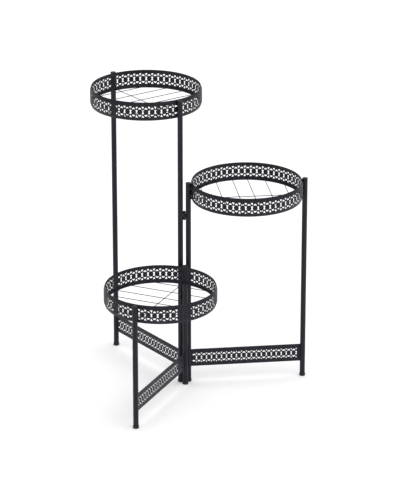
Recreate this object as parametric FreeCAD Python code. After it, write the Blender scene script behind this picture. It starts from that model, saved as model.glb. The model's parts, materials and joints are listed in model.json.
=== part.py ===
import FreeCAD, Part
import math
import os
from FreeCAD import Vector

# Three-tier folding plant stand in powder-coated steel. Each tier is a welded frame of two round
# posts, a pierced crossbar low down and a round tray at the top. The three inner posts stand in a
# triangle and are hinged to each other, so the frames fold together about upright pins.
#
# Millimetres, +Z up, feet on Z = 0. The middle frame runs along +X. The origin is on the floor,
# below the middle of the whole stand. Each frame is built along +X from its inner post at the
# origin, then turned and moved to its place.

# Frames: heights from the floor to the tray rim and the plug tops, bearings about +Z
TALL_HEIGHT = 679.0
MIDDLE_HEIGHT = 485.0
LOW_HEIGHT = 292.0
TALL_BEARING = 118.5
MIDDLE_BEARING = 0.0
LOW_BEARING = 238.7

# Posts: round steel tube
TUBE_DIAMETER = 12.0
TUBE_WALL = 1.0
POST_GAP = 6.2

# Plastic plugs in the post tops and cups on the post feet
PLUG_HEAD_DIAMETER = 13.2
PLUG_HEAD_HEIGHT = 2.0
PLUG_ROUNDING = 1.2
PLUG_STEM_LENGTH = 10.0
FOOT_DIAMETER = 13.8
FOOT_HEIGHT = 6.0
FOOT_FLOOR = 2.0
FOOT_ROUNDING = 1.2
CAP_CLEARANCE = 0.1

# Trays: a pierced band on edge, a wire ring inside its bottom edge and a wire floor. The band is
# widest along its lace, and its plain borders above and below lean inwards.
TRAY_DIAMETER = 253.0
BAND_HEIGHT = 42.4
BAND_THICKNESS = 0.8
BORDER_HEIGHT = 7.0
BORDER_LEAN = 2.5
BASE_RING_WIRE = 2.5
FLOOR_WIRE = 1.6
MIDDLE_WIRE_SPACING = 34.5
WIRE_SPACING = 39.4
WIRE_EDGE_MARGIN = 12.0

# Welds that hold a tray between its posts, near the band's top and bottom edges
TRAY_TO_POST = 0.15
TRAY_WELD_WIDTH = 5.0
TRAY_WELD_HEIGHT = 4.0
TRAY_WELD_CLEARANCE = 0.4

# Crossbars: pierced flat strip on edge
CROSSBAR_BOTTOM = 36.7
CROSSBAR_HEIGHT = 42.4
CROSSBAR_THICKNESS = 0.8
CROSSBAR_END_MARGIN = 2.0

# Lace of both strips: how far its middle line lies below the strip's
LACE_DROP = 0.6

# Lace of the tray bands: per repeat a waisted slot, two triangles in line with it, two crescents
BAND_PITCH = 13.9
BAND_SLOT_WAIST = 2.5
BAND_SLOT_WIDTH = 5.4
BAND_SLOT_HEIGHT = 9.4
BAND_SLOT_TIP = 0.7
BAND_TRIANGLE_WIDTH = 5.9
BAND_TRIANGLE_HEIGHT = 6.0
BAND_TRIANGLE_RISE = 6.6
BAND_CRESCENT_WIDTH = 7.8
BAND_CRESCENT_HEIGHT = 3.9
BAND_CRESCENT_RISE = 6.3

# Lace of the crossbars: the same openings, closer together
BAR_PITCH = 11.6
BAR_SLOT_WAIST = 1.7
BAR_SLOT_WIDTH = 4.2
BAR_SLOT_HEIGHT = 8.4
BAR_SLOT_TIP = 0.6
BAR_TRIANGLE_WIDTH = 4.8
BAR_TRIANGLE_HEIGHT = 2.9
BAR_TRIANGLE_RISE = 8.4
BAR_CRESCENT_WIDTH = 8.0
BAR_CRESCENT_HEIGHT = 3.7
BAR_CRESCENT_RISE = 6.1

# How each strip's lace lies, as it was cut from stock: degrees that a tray's is turned from a slot
# at its inner post, and how far a crossbar's is moved from a slot at the bar's middle
TALL_TRAY_TURN = 0.0
MIDDLE_TRAY_TURN = -1.3
LOW_TRAY_TURN = 0.0
TALL_BAR_SHIFT = -2.3
MIDDLE_BAR_SHIFT = 1.7
LOW_BAR_SHIFT = -1.9

# Hinges: three knuckles on an upright pin in the gap between two inner posts
UPPER_HINGE_DROP = 78.0
LOWER_HINGE_HEIGHT = 105.0
KNUCKLE_HEIGHT = 6.4
KNUCKLE_GAP = 0.3
BARREL_CLEARANCE = 0.3
KNUCKLE_LUG_WIDTH = 3.6
PIN_DIAMETER = 2.6
PIN_CLEARANCE = 0.05
PIN_HEAD_DIAMETER = 4.4
PIN_HEAD_HEIGHT = 1.2

# How far a cutting solid runs past what it cuts
OVERCUT = 2.0

UP = Vector(0, 0, 1)
post_radius = TUBE_DIAMETER / 2
post_spacing = TUBE_DIAMETER + POST_GAP
tray_radius = TRAY_DIAMETER / 2
tray_inner_radius = tray_radius - BAND_THICKNESS
rim_inner_radius = tray_inner_radius - BORDER_LEAN
tray_offset = post_radius + TRAY_TO_POST + tray_radius
frame_width = 2 * tray_offset


def heading(bearing):
    """Unit vector in plan at a bearing in degrees about +Z."""
    return Vector(math.cos(math.radians(bearing)), math.sin(math.radians(bearing)), 0)


# Plan: each inner post stands one spacing from the last, in line with its own frame
tall_post = Vector(0, 0, 0)
middle_post = tall_post + heading(MIDDLE_BEARING) * post_spacing
low_post = middle_post + heading(LOW_BEARING) * post_spacing
FRAMES = {
    "tall": {"height": TALL_HEIGHT, "bearing": TALL_BEARING, "inner": tall_post,
             "tray_turn": TALL_TRAY_TURN, "bar_shift": TALL_BAR_SHIFT},
    "middle": {"height": MIDDLE_HEIGHT, "bearing": MIDDLE_BEARING, "inner": middle_post,
               "tray_turn": MIDDLE_TRAY_TURN, "bar_shift": MIDDLE_BAR_SHIFT},
    "low": {"height": LOW_HEIGHT, "bearing": LOW_BEARING, "inner": low_post,
            "tray_turn": LOW_TRAY_TURN, "bar_shift": LOW_BAR_SHIFT},
}


def plan_centre():
    """Middle of the whole stand in plan, from the rounds that it stands within."""
    cap_radius = max(FOOT_DIAMETER, PLUG_HEAD_DIAMETER) / 2
    rounds = []
    for frame in FRAMES.values():
        along = heading(frame["bearing"])
        rounds.append((frame["inner"], cap_radius))
        rounds.append((frame["inner"] + along * frame_width, cap_radius))
        rounds.append((frame["inner"] + along * tray_offset, tray_radius))
    low_x = min(centre.x - radius for centre, radius in rounds)
    high_x = max(centre.x + radius for centre, radius in rounds)
    low_y = min(centre.y - radius for centre, radius in rounds)
    high_y = max(centre.y + radius for centre, radius in rounds)
    return Vector((low_x + high_x) / 2, (low_y + high_y) / 2, 0)


origin = plan_centre()


def place(shape, frame, height=0.0):
    """Copies a piece made along +X from an inner post into its frame of the stand."""
    placed = shape.copy()
    placed.rotate(Vector(), UP, frame["bearing"])
    placed.translate(frame["inner"] - origin + UP * height)
    return placed


def moved(shape, x=0.0, y=0.0, z=0.0):
    """Copies a shape to one side."""
    copy = shape.copy()
    copy.translate(Vector(x, y, z))
    return copy


def cylinder(diameter, height, x=0.0, z=0.0):
    """Upright cylinder whose lower end is at height z."""
    return Part.makeCylinder(diameter / 2, height, Vector(x, 0, z))


def rounded_disc(diameter, height, rounding, rounded_end):
    """Upright disc from z = 0 with the edge at z = rounded_end rounded."""
    disc = cylinder(diameter, height)
    rim = [edge for edge in disc.Edges
           if edge.Closed and abs(edge.CenterOfMass.z - rounded_end) < height / 10]
    return disc.makeFillet(min(rounding, 0.9 * height), rim)


# ---- Posts and their plastic caps ----

def post(height):
    """Tube that stands on the floor of its foot cup and ends under its plug's head."""
    length = height - PLUG_HEAD_HEIGHT - FOOT_FLOOR
    tube = cylinder(TUBE_DIAMETER, length, z=FOOT_FLOOR)
    bore = cylinder(TUBE_DIAMETER - 2 * TUBE_WALL, length, z=FOOT_FLOOR)
    return tube.cut(bore)


def plug():
    """Round-edged head with a stem that presses into the tube, made with its top at z = 0."""
    head = rounded_disc(PLUG_HEAD_DIAMETER, PLUG_HEAD_HEIGHT, PLUG_ROUNDING, PLUG_HEAD_HEIGHT)
    stem_diameter = TUBE_DIAMETER - 2 * (TUBE_WALL + CAP_CLEARANCE)
    stem = cylinder(stem_diameter, PLUG_STEM_LENGTH, z=-PLUG_STEM_LENGTH)
    return moved(head.fuse(stem).removeSplitter(), z=-PLUG_HEAD_HEIGHT)


def foot():
    """Cup with a round-edged base, pushed over the end of a post."""
    cup = rounded_disc(FOOT_DIAMETER, FOOT_HEIGHT, FOOT_ROUNDING, 0)
    socket = cylinder(TUBE_DIAMETER + 2 * CAP_CLEARANCE, FOOT_HEIGHT, z=FOOT_FLOOR)
    return cup.cut(socket)


# ---- Pierced lace ----

def upright(x, z):
    """Point of an outline drawn in the XZ plane."""
    return Vector(x, 0, z)


def line(start, end):
    return Part.LineSegment(start, end).toShape()


def arc(start, middle, end):
    return Part.Arc(start, middle, end).toShape()


def slot_outline(waist, width, height, tip):
    """Upright slot with pointed ends and sides that bow inwards."""
    top = upright(0, height / 2)
    bottom = upright(0, -height / 2)
    upper_right = upright(width / 2, height / 2 - tip)
    lower_right = upright(width / 2, tip - height / 2)
    upper_left = upright(-width / 2, height / 2 - tip)
    lower_left = upright(-width / 2, tip - height / 2)
    return Part.Wire([
        line(top, upper_right),
        arc(upper_right, upright(waist / 2, 0), lower_right),
        line(lower_right, bottom),
        line(bottom, lower_left),
        arc(lower_left, upright(-waist / 2, 0), upper_left),
        line(upper_left, top),
    ])


def triangle_outline(width, height, rise, side):
    """Triangle that points at mid height; side is 1 above it and -1 below."""
    point = upright(0, side * rise)
    right = upright(width / 2, side * (rise + height))
    left = upright(-width / 2, side * (rise + height))
    return Part.Wire([line(point, right), line(right, left), line(left, point)])


def crescent_outline(width, height, rise, side):
    """Flat-based arch over a solid oval; side is 1 above mid height and -1 below."""
    right = upright(width / 2, side * rise)
    left = upright(-width / 2, side * rise)
    crown = upright(0, side * (rise + height))
    return Part.Wire([line(left, right), arc(right, crown, left)])


def band_lace(pitch):
    """Openings of one repeat of a tray band, each with its place along the band."""
    slot = slot_outline(BAND_SLOT_WAIST, BAND_SLOT_WIDTH, BAND_SLOT_HEIGHT, BAND_SLOT_TIP)
    openings = [(0.0, slot)]
    for side in (1, -1):
        triangle = triangle_outline(
            BAND_TRIANGLE_WIDTH, BAND_TRIANGLE_HEIGHT, BAND_TRIANGLE_RISE, side)
        crescent = crescent_outline(
            BAND_CRESCENT_WIDTH, BAND_CRESCENT_HEIGHT, BAND_CRESCENT_RISE, side)
        openings.append((0.0, triangle))
        openings.append((pitch / 2, crescent))
    return openings


def bar_lace(pitch):
    """Openings of one repeat of a crossbar, each with its place along the bar."""
    slot = slot_outline(BAR_SLOT_WAIST, BAR_SLOT_WIDTH, BAR_SLOT_HEIGHT, BAR_SLOT_TIP)
    openings = [(0.0, slot)]
    for side in (1, -1):
        triangle = triangle_outline(
            BAR_TRIANGLE_WIDTH, BAR_TRIANGLE_HEIGHT, BAR_TRIANGLE_RISE, side)
        crescent = crescent_outline(
            BAR_CRESCENT_WIDTH, BAR_CRESCENT_HEIGHT, BAR_CRESCENT_RISE, side)
        openings.append((0.0, triangle))
        openings.append((pitch / 2, crescent))
    return openings


# ---- Trays, made about the tray's own centre with the band's bottom edge at z = 0 ----

def drum(widest):
    """Solid with a band's outline: straight at its widest radius, its borders leaning inwards."""
    rim = widest - BORDER_LEAN
    section = [
        upright(0, 0), upright(rim, 0), upright(widest, BORDER_HEIGHT),
        upright(widest, BAND_HEIGHT - BORDER_HEIGHT), upright(rim, BAND_HEIGHT), upright(0, BAND_HEIGHT),
    ]
    return Part.Face(Part.makePolygon(section + section[:1])).revolve(Vector(), UP, 360)


def border_radius(height):
    """Inner radius of the band's lower border at a height above its bottom edge."""
    return rim_inner_radius + BORDER_LEAN * min(1.0, height / BORDER_HEIGHT)


def tray_band():
    """Band bent into a ring, with every opening of the lace cut straight through its wall."""
    ring = drum(tray_radius).cut(drum(tray_inner_radius))
    repeats = round(math.pi * TRAY_DIAMETER / BAND_PITCH)
    pitch = math.pi * TRAY_DIAMETER / repeats
    cutters = []
    for along, outline in band_lace(pitch):
        cutter = Part.Face(outline).extrude(Vector(0, -(BAND_THICKNESS + 2 * OVERCUT), 0))
        cutter.translate(Vector(0, tray_radius + OVERCUT, BAND_HEIGHT / 2 - LACE_DROP))
        for repeat in range(repeats):
            turn = 90 + math.degrees((along + repeat * pitch) / tray_radius)
            turned = cutter.copy()
            turned.rotate(Vector(), UP, turn)
            cutters.append(turned)
    return ring.cut(cutters).Solids[0]


def tray_base_ring():
    """Wire ring that lies against the leaning border's inside, level with its bottom edge."""
    wire_radius = BASE_RING_WIRE / 2
    border_length = math.hypot(BORDER_HEIGHT, BORDER_LEAN)
    ring_radius = rim_inner_radius - wire_radius * (border_length - BORDER_LEAN) / BORDER_HEIGHT
    return Part.makeTorus(ring_radius, wire_radius, Vector(0, 0, wire_radius))


def floor_wire(offset, height, across):
    """Straight wire from wall to wall, offset from the tray's centre, its axis at a height."""
    wire_radius = FLOOR_WIRE / 2
    wall = border_radius(height - wire_radius)
    reach = math.sqrt(wall ** 2 - (abs(offset) + wire_radius) ** 2)
    if across:
        start = Vector(offset, -reach, height)
        return Part.makeCylinder(wire_radius, 2 * reach, start, Vector(0, 1, 0))
    return Part.makeCylinder(wire_radius, 2 * reach, Vector(-reach, offset, height), Vector(1, 0, 0))


cross_wire_height = BASE_RING_WIRE + FLOOR_WIRE / 2
floor_wire_height = cross_wire_height + FLOOR_WIRE


def tray_cross_wire():
    """Wire along the frame that rests on the base ring and carries the floor wires."""
    return floor_wire(0.0, cross_wire_height, across=False)


def tray_floor_wires():
    """Floor wires across the frame, in pairs either side of the tray's centre."""
    wires = []
    offset = MIDDLE_WIRE_SPACING / 2
    while offset < rim_inner_radius - WIRE_EDGE_MARGIN:
        wires.append(floor_wire(offset, floor_wire_height, across=True))
        wires.append(floor_wire(-offset, floor_wire_height, across=True))
        offset += WIRE_SPACING
    return Part.Compound(wires)


def tray_welds():
    """Short weld pads between the band and both posts, below the plugs and as far from the bottom."""
    band = drum(tray_radius)
    inset = PLUG_HEAD_HEIGHT + TRAY_WELD_CLEARANCE
    pads = []
    for side in (1, -1):
        post_place = cylinder(TUBE_DIAMETER, BAND_HEIGHT, x=side * tray_offset)
        pad = Part.makeBox(tray_offset, TRAY_WELD_WIDTH, TRAY_WELD_HEIGHT)
        pad.translate(Vector(-tray_offset / 2, -TRAY_WELD_WIDTH / 2, 0))
        pad.translate(Vector(side * tray_offset / 2, 0, 0))
        for bottom in (inset, BAND_HEIGHT - inset - TRAY_WELD_HEIGHT):
            pads.append(moved(pad, z=bottom).cut([band, post_place]).Solids[0])
    return Part.Compound(pads)


# ---- Crossbar, made along +X from the inner post's axis ----

def crossbar(shift):
    """Flat strip from post to post, with each opening of its lace that fits whole as a hole."""
    start = post_radius
    length = frame_width - TUBE_DIAMETER
    corners = [
        upright(start, -CROSSBAR_HEIGHT / 2),
        upright(start + length, -CROSSBAR_HEIGHT / 2),
        upright(start + length, CROSSBAR_HEIGHT / 2),
        upright(start, CROSSBAR_HEIGHT / 2),
    ]
    outlines = [Part.makePolygon(corners + corners[:1])]
    reach = math.ceil(length / 2 / BAR_PITCH) + 1
    for along, outline in bar_lace(BAR_PITCH):
        for repeat in range(-reach, reach + 1):
            x = start + length / 2 + shift + along + repeat * BAR_PITCH
            opening = moved(outline, x=x, z=-LACE_DROP)
            from_start = opening.BoundBox.XMin - start
            from_end = start + length - opening.BoundBox.XMax
            if min(from_start, from_end) >= CROSSBAR_END_MARGIN:
                outlines.append(opening)
    strip = Part.Face(outlines, "Part::FaceMakerBullseye").extrude(Vector(0, CROSSBAR_THICKNESS, 0))
    return moved(strip, y=-CROSSBAR_THICKNESS / 2, z=CROSSBAR_BOTTOM + CROSSBAR_HEIGHT / 2)


# ---- Hinges, made about the pin with the fixed post on the -X side ----

barrel_diameter = POST_GAP - 2 * BARREL_CLEARANCE
barrel_height = 3 * KNUCKLE_HEIGHT + 2 * KNUCKLE_GAP


def knuckle(level, side):
    """Knuckle at level 0, 1 or 2 from the bottom, with a lug to the post on its side."""
    bottom = level * (KNUCKLE_HEIGHT + KNUCKLE_GAP) - barrel_height / 2
    barrel = cylinder(barrel_diameter, KNUCKLE_HEIGHT, z=bottom)
    lug = Part.makeBox(post_spacing / 2, KNUCKLE_LUG_WIDTH, KNUCKLE_HEIGHT)
    lug.translate(Vector(-post_spacing / 4, -KNUCKLE_LUG_WIDTH / 2, bottom))
    lug.translate(Vector(side * post_spacing / 4, 0, 0))
    post_place = cylinder(TUBE_DIAMETER, KNUCKLE_HEIGHT, x=side * post_spacing / 2, z=bottom)
    hole = cylinder(PIN_DIAMETER + 2 * PIN_CLEARANCE, KNUCKLE_HEIGHT, z=bottom)
    return barrel.fuse(lug).removeSplitter().cut([post_place, hole]).Solids[0]


def fixed_knuckles():
    return Part.Compound([knuckle(0, -1), knuckle(2, -1)])


def moving_knuckle():
    return knuckle(1, 1)


def hinge_pin():
    """Pin through the three knuckles with a flat head at each end."""
    shank = cylinder(PIN_DIAMETER, barrel_height, z=-barrel_height / 2)
    top = cylinder(PIN_HEAD_DIAMETER, PIN_HEAD_HEIGHT, z=barrel_height / 2)
    bottom = cylinder(PIN_HEAD_DIAMETER, PIN_HEAD_HEIGHT, z=-barrel_height / 2 - PIN_HEAD_HEIGHT)
    return shank.fuse([top, bottom]).removeSplitter()


def hinge_axis(name):
    """Place of the pin that carries a frame: half a spacing back from its inner post."""
    frame = FRAMES[name]
    return frame["inner"] - heading(frame["bearing"]) * (post_spacing / 2)


def hinge_nodes(name):
    """Upper and lower hinge of a moving frame, turned to its bearing at rest."""
    frame = FRAMES[name]
    pin_frame = {"bearing": frame["bearing"], "inner": hinge_axis(name)}
    heights = {"upper": frame["height"] - UPPER_HINGE_DROP, "lower": LOWER_HINGE_HEIGHT}
    nodes = {}
    for level, height in heights.items():
        hinge = f"{name}_{level}_hinge"
        nodes[f"{hinge}_fixed_knuckles"] = place(fixed_knuckles(), pin_frame, height)
        nodes[f"{hinge}_moving_knuckle"] = place(moving_knuckle(), pin_frame, height)
        nodes[f"{hinge}_pin"] = place(hinge_pin(), pin_frame, height)
    return nodes


# ---- The whole stand ----

def frame_nodes(name, band, tray_pieces):
    """Every piece of one frame, under the frame's name."""
    frame = FRAMES[name]
    height = frame["height"]
    turned_band = band.copy()
    turned_band.rotate(Vector(), UP, frame["tray_turn"])
    nodes = {
        f"{name}_crossbar": place(crossbar(frame["bar_shift"]), frame),
        f"{name}_tray_band": place(moved(turned_band, x=tray_offset), frame, height - BAND_HEIGHT),
    }
    for end, x in (("inner", 0.0), ("outer", frame_width)):
        nodes[f"{name}_{end}_post"] = place(moved(post(height), x=x), frame)
        nodes[f"{name}_{end}_plug"] = place(moved(plug(), x=x), frame, height)
        nodes[f"{name}_{end}_foot"] = place(moved(foot(), x=x), frame)
    for piece, shape in tray_pieces.items():
        nodes[f"{name}_tray_{piece}"] = place(shape, frame, height - BAND_HEIGHT)
    return nodes


def build():
    """All nodes of the stand by name."""
    tray_pieces = {
        "base_ring": moved(tray_base_ring(), x=tray_offset),
        "cross_wire": moved(tray_cross_wire(), x=tray_offset),
        "floor_wires": moved(tray_floor_wires(), x=tray_offset),
        "welds": moved(tray_welds(), x=tray_offset),
    }
    band = tray_band()
    nodes = {}
    for name in FRAMES:
        nodes.update(frame_nodes(name, band, tray_pieces))
    nodes.update(hinge_nodes("middle"))
    nodes.update(hinge_nodes("low"))
    return nodes


def report():
    """Prints the places that the stand's description needs."""
    for name, frame in FRAMES.items():
        along = heading(frame["bearing"])
        inner = frame["inner"] - origin
        tray = inner + along * tray_offset
        print(f"{name}: inner post {inner.x:.3f} {inner.y:.3f}, tray centre {tray.x:.3f} {tray.y:.3f}")
    for name in ("middle", "low"):
        axis = hinge_axis(name) - origin
        print(f"{name} hinge axis {axis.x:.3f} {axis.y:.3f}")


os.makedirs("parts", exist_ok=True)
for node, shape in build().items():
    shape.exportStep(f"parts/{node}.step")
report()
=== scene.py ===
"""Folding three-tier plant stand: black steel posts, pierced trays and crossbars, wire floors."""

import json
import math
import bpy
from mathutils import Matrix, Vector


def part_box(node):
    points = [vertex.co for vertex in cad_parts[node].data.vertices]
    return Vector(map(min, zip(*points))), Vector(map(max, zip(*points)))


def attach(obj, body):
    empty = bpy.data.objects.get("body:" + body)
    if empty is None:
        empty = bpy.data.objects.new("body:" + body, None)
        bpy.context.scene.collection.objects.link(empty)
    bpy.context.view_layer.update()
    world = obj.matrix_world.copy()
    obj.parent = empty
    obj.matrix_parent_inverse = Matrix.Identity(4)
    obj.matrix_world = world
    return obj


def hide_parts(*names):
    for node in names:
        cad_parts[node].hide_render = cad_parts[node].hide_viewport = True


bl_info = {
    "name": "Folding Plant Stand",
    "version": (1, 0, 0),
    "blender": (4, 5, 0),
    "location": "3D View > Sidebar > Plant Stand",
    "description": "Builds the looks of a folding three-tier plant stand around its packed frame",
    "category": "Add Mesh",
}

import bmesh
import bpy
from bpy.props import FloatProperty, FloatVectorProperty, PointerProperty
from mathutils import Matrix, Vector
from mathutils.geometry import delaunay_2d_cdt

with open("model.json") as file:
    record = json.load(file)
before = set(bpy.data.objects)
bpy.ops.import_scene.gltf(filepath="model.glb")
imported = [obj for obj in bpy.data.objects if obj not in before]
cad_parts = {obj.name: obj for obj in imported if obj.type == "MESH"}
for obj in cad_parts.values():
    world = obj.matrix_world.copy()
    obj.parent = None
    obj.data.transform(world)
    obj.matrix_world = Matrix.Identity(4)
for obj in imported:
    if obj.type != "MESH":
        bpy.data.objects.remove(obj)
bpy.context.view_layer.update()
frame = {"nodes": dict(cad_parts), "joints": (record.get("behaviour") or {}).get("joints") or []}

MM = 0.001
FRAMES = ("tall", "middle", "low")
HINGED = {"middle": "tall", "low": "middle"}
# How each strip's lace lies, as it was cut from stock: how far a tray's is turned from a slot at
# its inner post, and a crossbar's shifted from a slot at the bar's middle
TRAY_TURN = {"tall": 0.0, "middle": math.radians(-1.3), "low": 0.0}
BAR_SHIFT = {"tall": -2.3 * MM, "middle": 1.7 * MM, "low": -1.9 * MM}
# The crossbars' lace in millimetres: the trays' openings in other sizes, closer together
BAR_LACE = {
    "pitch": 11.6, "waist": 1.7, "shoulder": 4.2, "slot_height": 8.4, "tip": 0.6,
    "triangle_width": 4.8, "triangle_height": 2.9, "triangle_rise": 8.4,
    "crescent_width": 8.0, "crescent_height": 3.7, "crescent_rise": 6.1}
# How far back from each corner of an opening its rounding starts
SLOT_POINT, SLOT_CORNER, TRIANGLE_CORNER, CRESCENT_TIP = 0.5 * MM, 0.4 * MM, 0.55 * MM, 0.4 * MM
# Faces round a wire, and round and up a weld drop, and a drop's height for its width
WIRE_SIDES, DROP_SIDES, DROP_RINGS, DROP_FLATNESS = 14, 12, 8, 0.8
# Points nearer to each other than this are one
SAME_PLACE = 0.01 * MM


# ---- Places read from the frame ----

def centre_line(node):
    """Centre in plan of an upright round node, weighted by its side faces."""
    sides = [face for face in frame["nodes"][node].data.polygons if abs(face.normal.z) < 0.5]
    area = sum(face.area for face in sides)
    x = sum(face.area * face.center.x for face in sides) / area
    y = sum(face.area * face.center.y for face in sides) / area
    return Vector((x, y, 0.0))


class FramePlace:
    """One frame of the stand: local X runs from its inner post to its outer post, Z up."""

    def __init__(self, name):
        inner = centre_line(f"{name}_inner_post")
        run = centre_line(f"{name}_outer_post") - inner
        self.name = name
        self.body = f"{name}_frame"
        self.width = run.length
        self.bearing = math.atan2(run.y, run.x)
        self.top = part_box(f"{name}_inner_plug")[1].z
        self.ends = {"inner": 0.0, "outer": self.width}
        self.matrix = Matrix.Translation(inner) @ Matrix.Rotation(self.bearing, 4, "Z")

    def at(self, x, z=0.0):
        """Matrix of a place along the frame and above the floor."""
        return self.matrix @ Matrix.Translation((x, 0.0, z))


places = {name: FramePlace(name) for name in FRAMES}
joint_places = {joint["child"]: Vector(joint["pos_m"]) for joint in frame["joints"]}
band_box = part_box("middle_tray_band")
bar_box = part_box("middle_crossbar")
foot_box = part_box("tall_inner_foot")


# ---- Sizes and colours ----

def linear(code):
    """Linear colour from an sRGB hex value."""
    values = [int(code[i:i + 2], 16) / 255.0 for i in (1, 3, 5)]
    curve = [v / 12.92 if v <= 0.04045 else ((v + 0.055) / 1.055) ** 2.4 for v in values]
    return (*curve, 1.0)


def length_property(name, description, default):
    return FloatProperty(
        name=name, description=description, default=default, unit="LENGTH", precision=5)


def colour_property(name, description, code):
    return FloatVectorProperty(
        name=name, description=description, default=linear(code), size=4, subtype="COLOR",
        min=0.0, max=1.0)


def angle_property(name, description, degrees):
    return FloatProperty(
        name=name, description=description, default=math.radians(degrees), subtype="ANGLE",
        unit="ROTATION")


class StandSizes(bpy.types.PropertyGroup):
    """Sizes of the stand's pieces."""

    tube_radius: length_property("Tube Radius", "Outside radius of the posts", 6.0 * MM)
    tube_wall: length_property("Tube Wall", "Wall of the post tube", 1.0 * MM)
    plug_radius: length_property("Plug Radius", "Radius of the head of a post's plug", 6.6 * MM)
    plug_head: length_property("Plug Head", "Height of the head of a post's plug", 2.0 * MM)
    foot_radius: length_property("Foot Radius", "Radius of a foot cup", 6.9 * MM)
    foot_height: length_property(
        "Foot Height", "Height of a foot cup", foot_box[1].z - foot_box[0].z)
    foot_floor: length_property("Foot Floor", "Thickness of a foot cup's base", 2.0 * MM)
    band_radius: length_property(
        "Tray Radius", "Outside radius of a tray's band", (band_box[1].x - band_box[0].x) / 2)
    band_height: length_property(
        "Band Height", "Height of a tray's band", band_box[1].z - band_box[0].z)
    border_height: length_property(
        "Border Height", "Height of a band's plain border, above and below its lace", 7.0 * MM)
    border_lean: length_property(
        "Border Lean", "How far a band's rims stand in from its widest part", 2.5 * MM)
    band_thickness: length_property(
        "Band Thickness", "Thickness of the trays' pierced strip", bar_box[1].y - bar_box[0].y)
    bar_thickness: length_property(
        "Crossbar Thickness", "Thickness of the crossbars' strip, finer than the trays'", 0.5 * MM)
    strip_edge: length_property(
        "Strip Edge", "How far the coated edges of the strips are rounded", 0.32 * MM)
    bar_bottom: length_property(
        "Crossbar Bottom", "Height of a crossbar above the floor", bar_box[0].z)
    bar_height: length_property(
        "Crossbar Height", "Height of a crossbar's strip", bar_box[1].z - bar_box[0].z)
    ring_wire: length_property(
        "Base Ring Wire", "Diameter of the wire under a tray's floor", 2.5 * MM)
    floor_wire: length_property("Floor Wire", "Diameter of a tray's floor wires", 1.6 * MM)
    middle_gap: length_property(
        "Middle Spacing", "Spacing of the two floor wires beside a tray's middle", 34.5 * MM)
    wire_gap: length_property("Wire Spacing", "Spacing of the other floor wires", 39.4 * MM)
    knuckle_height: length_property("Knuckle Height", "Height of one hinge knuckle", 6.4 * MM)
    knuckle_gap: length_property("Knuckle Gap", "Gap between two hinge knuckles", 0.3 * MM)
    knuckle_radius: length_property("Knuckle Radius", "Radius of a hinge knuckle", 2.95 * MM)
    pin_radius: length_property("Pin Radius", "Radius of a hinge pin", 1.3 * MM)
    pin_head_radius: length_property("Pin Head Radius", "Radius of a hinge pin's heads", 2.2 * MM)


class LaceSizes(bpy.types.PropertyGroup):
    """Openings of one repeat of a pierced strip."""

    pitch: length_property("Pitch", "Spacing of the repeats along the strip", 13.9 * MM)
    drop: length_property("Lace Drop", "How far the lace lies below the strip's middle", 0.6 * MM)
    waist: length_property("Slot Waist", "Width of a slot at its middle", 2.5 * MM)
    shoulder: length_property("Slot Width", "Width of a slot near its ends", 5.4 * MM)
    slot_height: length_property("Slot Height", "Height of a slot", 9.4 * MM)
    tip: length_property("Slot Tip", "Height of a slot's pointed ends", 0.7 * MM)
    triangle_width: length_property("Triangle Width", "Width of a triangle", 5.9 * MM)
    triangle_height: length_property("Triangle Height", "Height of a triangle", 6.0 * MM)
    triangle_rise: length_property("Triangle Rise", "Height of a triangle's point", 6.6 * MM)
    crescent_width: length_property("Crescent Width", "Width of a crescent", 7.8 * MM)
    crescent_height: length_property("Crescent Height", "Height of a crescent", 3.9 * MM)
    crescent_rise: length_property("Crescent Rise", "Height of a crescent's ends", 6.3 * MM)


class StandFinish(bpy.types.PropertyGroup):
    """Colours and textures of the stand."""

    coat_dark: colour_property("Dark Coat", "Powder coat where it is darkest", "#18161F")
    coat_light: colour_property("Light Coat", "Powder coat where it is lightest", "#1E1C27")
    coat_bump: length_property("Coat Bump", "Depth of the powder coat's orange peel", 0.02 * MM)
    coat_roughness: FloatProperty(
        name="Coat Roughness", description="Roughness of the satin powder coat",
        default=0.42, min=0.0, max=1.0, subtype="FACTOR")
    plastic_dark: colour_property("Dark Plastic", "Plugs and feet where darkest", "#1A191D")
    plastic_light: colour_property("Light Plastic", "Plugs and feet where lightest", "#201F23")
    steel_dark: colour_property("Dark Steel", "Hinge pins where darkest", "#2A2A2C")
    steel_light: colour_property("Light Steel", "Hinge pins where lightest", "#4A4A4D")


class StageSettings(bpy.types.PropertyGroup):
    """Camera, floor and lights."""

    aim: FloatVectorProperty(
        name="Aim", description="Point that the camera looks at",
        default=(-0.00925, -0.0220, 0.3459), subtype="TRANSLATION", unit="LENGTH")
    distance: length_property("Camera Distance", "From the camera to its aim", 5.9857)
    azimuth: angle_property("Azimuth", "Camera's turn round the stand", -7.21)
    elevation: angle_property("Elevation", "Camera's angle above the horizon", 20.81)
    lens: FloatProperty(name="Lens", description="Focal length", default=195.58, unit="CAMERA")
    floor_radius: length_property("Floor Radius", "Radius of the studio floor", 16.0)
    floor_dark: colour_property("Dark Floor", "Paper floor where it is darkest", "#F2F2F3")
    floor_light: colour_property("Light Floor", "Paper floor where it is lightest", "#F4F4F5")
    sky: FloatProperty(
        name="Sky Strength", description="Light from all round", default=0.62, min=0.0)
    sun: FloatProperty(
        name="Overhead Strength", description="Light from the large overhead diffuser",
        default=2.2, min=0.0)
    sun_spread: angle_property("Overhead Spread", "How wide the overhead diffuser is", 100.0)
    sun_turn: FloatVectorProperty(
        name="Overhead Turn", description="How the overhead diffuser is turned from straight down",
        default=(math.radians(12.0), math.radians(14.0), 0.0), subtype="EULER", unit="ROTATION")


# ---- Shapes ----

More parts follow.
